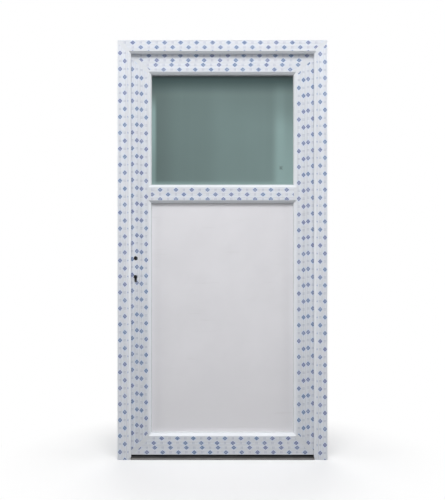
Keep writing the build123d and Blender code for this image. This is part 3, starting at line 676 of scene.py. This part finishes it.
def mitred(rect, side, square_foot=False):
    """Cut ends along a mitred side, kept back from the weld lines."""
    left, right, bottom, top = rect
    low, high = (bottom, top) if side in ("left", "right") else (left, right)

    def ends(t):
        start = low + FILM_MARGIN if square_foot else low + t + FILM_MITRE_GAP
        return start, high - t - FILM_MITRE_GAP

    return ends


def between(ends, gaps):
    """Splits cut ends where a strip is interrupted."""
    pieces = []
    low = None
    for gap in gaps + [None]:
        def part(t, low=low, gap=gap):
            start, stop = ends(t)
            return (low[1] if low else start), (gap[0] if gap else stop)
        pieces.append(part)
        low = gap
    return pieces


# The holes in the film over the lock, in metres
HOLE_RADIUS = 0.0105
SLOT_RADIUS = 0.0068
SLOT_DROP = 0.0195
CUTTER_DEPTH = 0.008


def film_holes(face):
    """A cutter for the spindle hole and the cylinder hole, through the film on one face."""
    bm = bmesh.new()
    y_0, depth = face - CUTTER_DEPTH / 2, (0.0, CUTTER_DEPTH, 0.0)

    def arc(x, z, radius, first, last, steps):
        angles = [math.radians(first + (last - first) * step / steps) for step in range(steps + 1)]
        return [(x + radius * math.cos(angle), y_0, z + radius * math.sin(angle)) for angle in angles]

    prism(bm, arc(LOCK_X, SPINDLE_Z, HOLE_RADIUS, 0, 350, 35), depth)
    side = math.degrees(math.asin(SLOT_RADIUS / HOLE_RADIUS))
    key = arc(LOCK_X, CYLINDER_Z, HOLE_RADIUS, side - 90, 270 - side, 28)
    key += arc(LOCK_X, CYLINDER_Z - SLOT_DROP, SLOT_RADIUS, 180, 360, 14)
    prism(bm, key, depth)
    return new_object("film_cutter", bm)


# Where the film is cut out at the hinges, its seams, the print's shift from strip to strip, and the faces:
# each one's body, rectangle, place and direction along Y, and its strips
HINGE_CUT = HINGE_HALF + 0.002
HINGE_GAPS = [(z - HINGE_CUT, z + HINGE_CUT) for z in HINGE_HEIGHTS.values()]
INNER_SEAM = 0.032
LOCK_SIDE_SEAM = 0.050
PART_SHIFT = 0.0137
STRIP_SHIFT = 0.029
RAIL_SHIFT = 0.041
FILM_FACES = {
    "frame_outer": ("frame", FRAME_RECT, FRAME_OUTER_Y, -1, strips(0.0, FRAME_OUTER_FLAT, 1)),
    "frame_inner": ("frame", FRAME_RECT, FRAME_INNER_Y, 1, strips(0.0, FRAME_INNER_FLAT, 1)),
    "leaf_outer": ("leaf", LEAF_RECT, LEAF_OUTER_Y, -1, strips(0.0, LEAF_OUTER_FLAT, 2)),
    "leaf_inner": ("leaf", LEAF_RECT, LEAF_INNER_Y, 1, seamed(*LEAF_INNER_FLAT, INNER_SEAM)),
}
LOCK_SIDE_STRIPS = seamed(*LEAF_INNER_FLAT, LOCK_SIDE_SEAM)


def add_films():
    """The film on each side of the frame and the leaf, outside and inside, and then on the mid rail."""
    phase = 0.0
    for name, (body, rect, face, facing, widths) in FILM_FACES.items():
        for side in ("left", "right", "top", "bottom"):
            if body == "frame" and side == "bottom":
                continue
            bm = bmesh.new()
            locked = name == "leaf_inner" and side == "left"
            for index, across in enumerate(LOCK_SIDE_STRIPS if locked else widths):
                if name == "leaf_inner" and side == "bottom":
                    across = (max(across[0], FILM_MARGIN), across[1])
                ends = mitred(rect, side, body == "frame" and side != "top")
                hinged = facing > 0 and side == "right" and index == 0
                for part in between(ends, HINGE_GAPS if hinged else []):
                    film_strip(bm, placer(rect, side, face, facing), across, part, phase)
                    phase += PART_SHIFT
                phase += STRIP_SHIFT
            piece = new_object(f"film_{name}_{side}", bm)
            if name == "leaf_outer" and side == "left":
                cut(piece, film_holes(face))
            dress(piece, "film", body)
    add_mid_rail_films(phase)


def add_mid_rail_films(phase):
    """The mid rail's film, which stops square at the stiles' bevels outside and at their flats inside."""
    rect = (LEAF_RECT[0], LEAF_RECT[1], MID_RAIL_Z, MID_RAIL_Z)
    faces = (
        ("outer", LEAF_OUTER_Y, -1, MID_RAIL_OUTER, LEAF_OUTER_FLAT + LEAF_BEVEL),
        ("inner", LEAF_INNER_Y, 1, MID_RAIL_INNER, LEAF_INNER_FLAT[1]),
    )
    for name, face, facing, half, reach in faces:
        bm = bmesh.new()
        span = (rect[0] + reach + FILM_MARGIN, rect[1] - reach - FILM_MARGIN)
        for across in strips(-half, half, 1):
            film_strip(bm, placer(rect, "top", face, facing), across, lambda t: span, phase)
        phase += RAIL_SHIFT
        dress(new_object(f"film_mid_rail_{name}", bm), "film", "leaf")


# Screws and caps: shapes as shares of a radius and a height, and sizes and places in metres
SCREW_SHAPE = (
    (0.0, 1.0), (0.45, 0.98), (0.72, 0.86), (0.92, 0.52), (1.0, 0.16), (0.97, 0.0), (0.97, -0.1),
)
SCREW_SEGMENTS = 28
CROSS_HALF_LENGTH = 0.55
CROSS_HALF_WIDTH = 0.13
CROSS_FLOOR = 0.30
CAP_SHAPE = ((0.0, 1.0), (0.40, 0.96), (0.70, 0.80), (0.90, 0.48), (1.0, 0.10), (1.0, -0.2))
CAP_SEGMENTS = 36
KEY_RADIUS = 0.34
KEY_FLOOR = 0.1
KEY_TURN = 5  # degrees, so that no corner of the key hole lies on an edge of the cap
HINGE_SCREW = (0.0032, 0.0015)
LOCK_SCREW = (0.0036, 0.0010)
HINGE_CAP = (0.0066, 0.0014)
FRAME_PLATE = (0.4930, 0.041)
FRAME_PLATE_STEPS = (-0.040, -0.014, 0.014, 0.040)
LEAF_PLATE_Y = 0.064
LEAF_PLATE_ROWS = ((0.424, (-0.038, 0.0, 0.038)), (0.441, (-0.024, 0.024)))
HINGE_PIN = (0.480, 0.065)
FACEPLATE_X = -0.446
STRIKE_X = -0.455
LOCK_SCREW_Y = 0.026
LOCK_SCREW_HEIGHTS = (0.8015, 1.0235)
FIRST_TURN = 11.0  # degrees, of the first copy of a screw or cap, and then from each to the next
NEXT_TURN = 37.0


def turned(profile, segments):
    """A solid of revolution about Z, from (radius, height) pairs that start on the axis at the top."""
    bm = bmesh.new()
    rings = []
    for radius, height in profile[1:]:
        turns = [2 * math.pi * step / segments for step in range(segments)]
        rings.append([bm.verts.new((radius * math.cos(a), radius * math.sin(a), height)) for a in turns])
    crown = bm.verts.new((0.0, 0.0, profile[0][1]))
    for index in range(segments):
        after = (index + 1) % segments
        bm.faces.new((crown, rings[0][index], rings[0][after]))
        for upper, lower in zip(rings, rings[1:]):
            bm.faces.new((upper[index], lower[index], lower[after], upper[after]))
    bm.faces.new(rings[-1])
    return bm


def screw_mesh(radius, height):
    """A raised screw head with a cross recess, its axis along Z and its underside just below zero."""
    profile = [(r * radius, h * height) for r, h in SCREW_SHAPE]
    head = new_object("screw", turned(profile, SCREW_SEGMENTS))
    half, slot = CROSS_HALF_LENGTH * radius, CROSS_HALF_WIDTH * radius
    for long_x, long_y in ((half, slot), (slot, half)):
        bm = bmesh.new()
        corners = [(-long_x, -long_y), (long_x, -long_y), (long_x, long_y), (-long_x, long_y)]
        prism(bm, [(x, y, CROSS_FLOOR * height) for x, y in corners], (0.0, 0.0, height))
        cut(head, new_object("screw_cutter", bm))
    mesh = head.data
    bpy.data.objects.remove(head)
    return mesh


def cap_mesh(radius, height):
    """A domed hinge cap with a six-sided key hole."""
    profile = [(r * radius, h * height) for r, h in CAP_SHAPE]
    cap = new_object("cap", turned(profile, CAP_SEGMENTS))
    bm = bmesh.new()
    turns = [math.radians(60 * step + KEY_TURN) for step in range(6)]
    key, floor = KEY_RADIUS * radius, KEY_FLOOR * height
    prism(bm, [(key * math.cos(a), key * math.sin(a), floor) for a in turns], (0.0, 0.0, 2 * height))
    cut(cap, new_object("cap_cutter", bm))
    mesh = cap.data
    bpy.data.objects.remove(cap)
    return mesh


def scatter(name, mesh, spots, axis, finish, body):
    """One piece from copies of a mesh, each turned by its own angle about the axis that it faces."""
    bm = bmesh.new()
    facing = Vector((0.0, 0.0, 1.0)).rotation_difference(Vector(axis)).to_matrix().to_4x4()
    for index, spot in enumerate(spots):
        own = bmesh.new()
        own.from_mesh(mesh)
        turn = Matrix.Rotation(math.radians(FIRST_TURN + NEXT_TURN * index), 4, "Z")
        own.transform(Matrix.Translation(spot) @ facing @ turn)
        copy = bpy.data.meshes.new("copy")
        own.to_mesh(copy)
        own.free()
        bm.from_mesh(copy)
        bpy.data.meshes.remove(copy)
    dress(new_object(name, bm), finish, body)


def add_fasteners():
    """Screws and caps of the hinges, and screws of the lock's faceplate and the strike plate."""
    hinge_screw = screw_mesh(*HINGE_SCREW)
    lock_screw = screw_mesh(*LOCK_SCREW)
    cap = cap_mesh(*HINGE_CAP)
    for name, z in HINGE_HEIGHTS.items():
        spots = [(*FRAME_PLATE, z + step) for step in FRAME_PLATE_STEPS]
        scatter(f"{name}_hinge_frame_screws", hinge_screw, spots, (0, 1, 0), "screw", "frame")
        spots = [(x, LEAF_PLATE_Y, z + step) for x, steps in LEAF_PLATE_ROWS for step in steps]
        scatter(f"{name}_hinge_leaf_screws", hinge_screw, spots, (0, 1, 0), "screw", "leaf")
        for end, facing in (("top", 1), ("foot", -1)):
            spots = [(*HINGE_PIN, z + facing * HINGE_HALF)]
            scatter(f"{name}_hinge_cap_{end}", cap, spots, (0, 0, facing), "hinge", "leaf")
    plates = (("faceplate_screws", FACEPLATE_X, -1, "leaf"), ("strike_screws", STRIKE_X, 1, "frame"))
    for name, x, facing, body in plates:
        spots = [(x, LOCK_SCREW_Y, z) for z in LOCK_SCREW_HEIGHTS]
        scatter(name, lock_screw, spots, (facing, 0, 0), "screw", body)


# The brush under the leaf, in metres
CARRIER_FOOT = 0.016
CARRIER_EDGE = 0.0006
BRISTLE_ROWS = 5
BRISTLES_IN_ROW = 700
ROW_PITCH = 0.0012
ROW_INSET = 0.001
BRISTLE_RADIUS = 0.00022
BRISTLE_CORNERS = (0.3, 2.4, 4.5)
BRISTLE_ROOT = CARRIER_FOOT + 0.0004
LEAN_X = 0.0006
LEAN_Y = 0.0004
UNEVEN_TIPS = 0.0006


def add_brush():
    """The brush's carrier with its bristles, each a thin three-sided prism with a lean of its own."""
    low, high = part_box("bottom_brush")
    bm = bmesh.new()
    section = [
        (low.y + CARRIER_EDGE, CARRIER_FOOT),
        (high.y - CARRIER_EDGE, CARRIER_FOOT),
        (high.y, CARRIER_FOOT + CARRIER_EDGE),
        (high.y, high.z),
        (low.y, high.z),
        (low.y, CARRIER_FOOT + CARRIER_EDGE),
    ]
    length = high.x - low.x
    prism(bm, [(low.x, y, z) for y, z in section], (length, 0.0, 0.0))
    draw = random.Random(7)
    middle = (low.y + high.y) / 2
    for row in range(BRISTLE_ROWS):
        y = middle + (row - BRISTLE_ROWS // 2) * ROW_PITCH
        for index in range(BRISTLES_IN_ROW):
            share = (index + 0.5 * (row % 2)) / BRISTLES_IN_ROW
            x = low.x + ROW_INSET + (length - 2 * ROW_INSET) * share
            lean_x, lean_y = draw.uniform(-LEAN_X, LEAN_X), draw.uniform(-LEAN_Y, LEAN_Y)
            foot = low.z + draw.uniform(0.0, UNEVEN_TIPS)
            root = []
            for angle in BRISTLE_CORNERS:
                side_x, side_y = BRISTLE_RADIUS * math.cos(angle), BRISTLE_RADIUS * math.sin(angle)
                root.append((x + side_x, y + side_y, BRISTLE_ROOT))
            prism(bm, root, (lean_x, lean_y, foot - BRISTLE_ROOT))
    piece = new_object("brush_strip", bm)
    dress(piece, "pile", "leaf")
    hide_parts("bottom_brush")


# Floor, light and camera, in metres
FLOOR_REACH = 7.0
FLOOR_SHOWN = 0.94
FLOOR_BOUNCE = 0.05
FLOOR_STRETCH = (0.7, 1.0, 1.0)
WHITE_FROM = 0.35
WHITE_BY = 0.80
DIM_SKY = (0.97, 0.98, 1.0, 1.0)
HORIZON_LEVEL = 0.36
ZENITH_LEVEL = 0.10
CAMERA_DISTANCE = 2.75
CAMERA_HEIGHT = 1.0
PICTURE_HEIGHT = 2.381
SENSOR = 36.0  # millimetres
# Each lamp's name, place, target, size, power in watts, and whether rays through glass meet it
LAMPS = (
    ("key", (0.1, -3.6, 5.6), (0.0, 0.0, 1.0), (6.0, 2.4), 274.0, True),
    ("left", (-5.0, -1.0, 0.9), (0.0, 0.0, 0.9), (2.0, 3.0), 122.0, True),
    ("right", (5.0, -1.0, 0.9), (0.0, 0.0, 0.9), (2.0, 3.0), 122.0, True),
    ("fill", (0.0, -6.0, 0.9), (0.0, 0.0, 0.6), (4.0, 1.6), 15.0, True),
    ("back", (-0.1, 5.0, 2.8), (0.0, 0.0, 1.0), (5.0, 2.4), 150.0, False),
)


def seen_directly(tree):
    """1 for rays from the camera, from gloss or through glass, and 0 for light that bounces."""
    path = tree.nodes.new("ShaderNodeLightPath")
    total = path.outputs["Is Camera Ray"]
    for kind in ("Is Glossy Ray", "Is Transmission Ray"):
        node = tree.nodes.new("ShaderNodeMath")
        node.operation = "MAXIMUM"
        tree.links.new(total, node.inputs[0])
        tree.links.new(path.outputs[kind], node.inputs[1])
        total = node.outputs[0]
    return total


def mixed_shader(tree, factor, first, second):
    node = tree.nodes.new("ShaderNodeMixShader")
    tree.links.new(factor, node.inputs[0])
    tree.links.new(first, node.inputs[1])
    tree.links.new(second, node.inputs[2])
    return node.outputs[0]


def diffuse(tree, level):
    node = tree.nodes.new("ShaderNodeBsdfDiffuse")
    node.inputs["Color"].default_value = (level, level, level, 1.0)
    return node.outputs[0]


def add_floor():
    """A pale floor that keeps the shadow near the door, fades to white, and sends little light up."""
    bm = bmesh.new()
    corners = ((-1, -1), (1, -1), (1, 1), (-1, 1))
    bm.faces.new([bm.verts.new((x * FLOOR_REACH, y * FLOOR_REACH, 0.0)) for x, y in corners])
    floor = new_object("floor", bm)
    n = Nodes("floor")
    tree = n.tree
    tree.nodes.remove(n.shader)
    distance = n.add("ShaderNodeVectorMath", operation="LENGTH")
    n.put(distance.inputs[0], n.scaled(n.coords(), FLOOR_STRETCH))
    white = n.add("ShaderNodeEmission").outputs[0]
    whitened = n.fade(distance.outputs["Value"], WHITE_FROM, WHITE_BY)
    shown = mixed_shader(tree, whitened, diffuse(tree, FLOOR_SHOWN), white)
    surface = mixed_shader(tree, seen_directly(tree), diffuse(tree, FLOOR_BOUNCE), shown)
    output = next(node for node in tree.nodes if node.type == "OUTPUT_MATERIAL")
    tree.links.new(surface, output.inputs["Surface"])
    floor.data.materials.append(n.material)


def add_world():
    """Dim light that fades overhead, and a white background where the camera, gloss or glass looks at it."""
    world = bpy.data.worlds.new("studio")
    bpy.context.scene.world = world
    world.use_nodes = True
    tree = world.node_tree
    tree.nodes.clear()
    dim = tree.nodes.new("ShaderNodeBackground")
    dim.inputs["Color"].default_value = DIM_SKY
    height = tree.nodes.new("ShaderNodeSeparateXYZ")
    tree.links.new(tree.nodes.new("ShaderNodeTexCoord").outputs["Generated"], height.inputs[0])
    level = tree.nodes.new("ShaderNodeMapRange")
    tree.links.new(height.outputs["Z"], level.inputs["Value"])
    level.inputs["To Min"].default_value = HORIZON_LEVEL
    level.inputs["To Max"].default_value = ZENITH_LEVEL
    tree.links.new(level.outputs[0], dim.inputs["Strength"])
    white = tree.nodes.new("ShaderNodeBackground")
    white.inputs["Color"].default_value = (1.0, 1.0, 1.0, 1.0)
    output = tree.nodes.new("ShaderNodeOutputWorld")
    surface = mixed_shader(tree, seen_directly(tree), dim.outputs[0], white.outputs[0])
    tree.links.new(surface, output.inputs["Surface"])


def add_lamp(name, spot, target, size, power, through_glass):
    lamp = bpy.data.lights.new(name, "AREA")
    lamp.shape = "RECTANGLE"
    lamp.size, lamp.size_y = size
    lamp.energy = power
    rig = bpy.data.objects.new(name, lamp)
    bpy.context.collection.objects.link(rig)
    rig.visible_camera = False
    rig.visible_transmission = through_glass
    rig.location = spot
    rig.rotation_euler = (Vector(target) - Vector(spot)).to_track_quat("-Z", "Y").to_euler()


def add_camera():
    """Straight on, level with the middle of the door, as in the photograph."""
    data = bpy.data.cameras.new("camera")
    data.sensor_width = SENSOR
    data.lens = SENSOR * CAMERA_DISTANCE / PICTURE_HEIGHT
    camera = bpy.data.objects.new("camera", data)
    bpy.context.collection.objects.link(camera)
    camera.location = (0.0, FRAME_OUTER_Y - CAMERA_DISTANCE, CAMERA_HEIGHT)
    camera.rotation_euler = (math.radians(90.0), 0.0, 0.0)
    bpy.context.scene.camera = camera


finish_nodes()
add_films()
add_fasteners()
add_brush()
add_floor()
add_world()
for lamp in LAMPS:
    add_lamp(*lamp)
add_camera()
bpy.context.scene.view_settings.view_transform = "Standard"
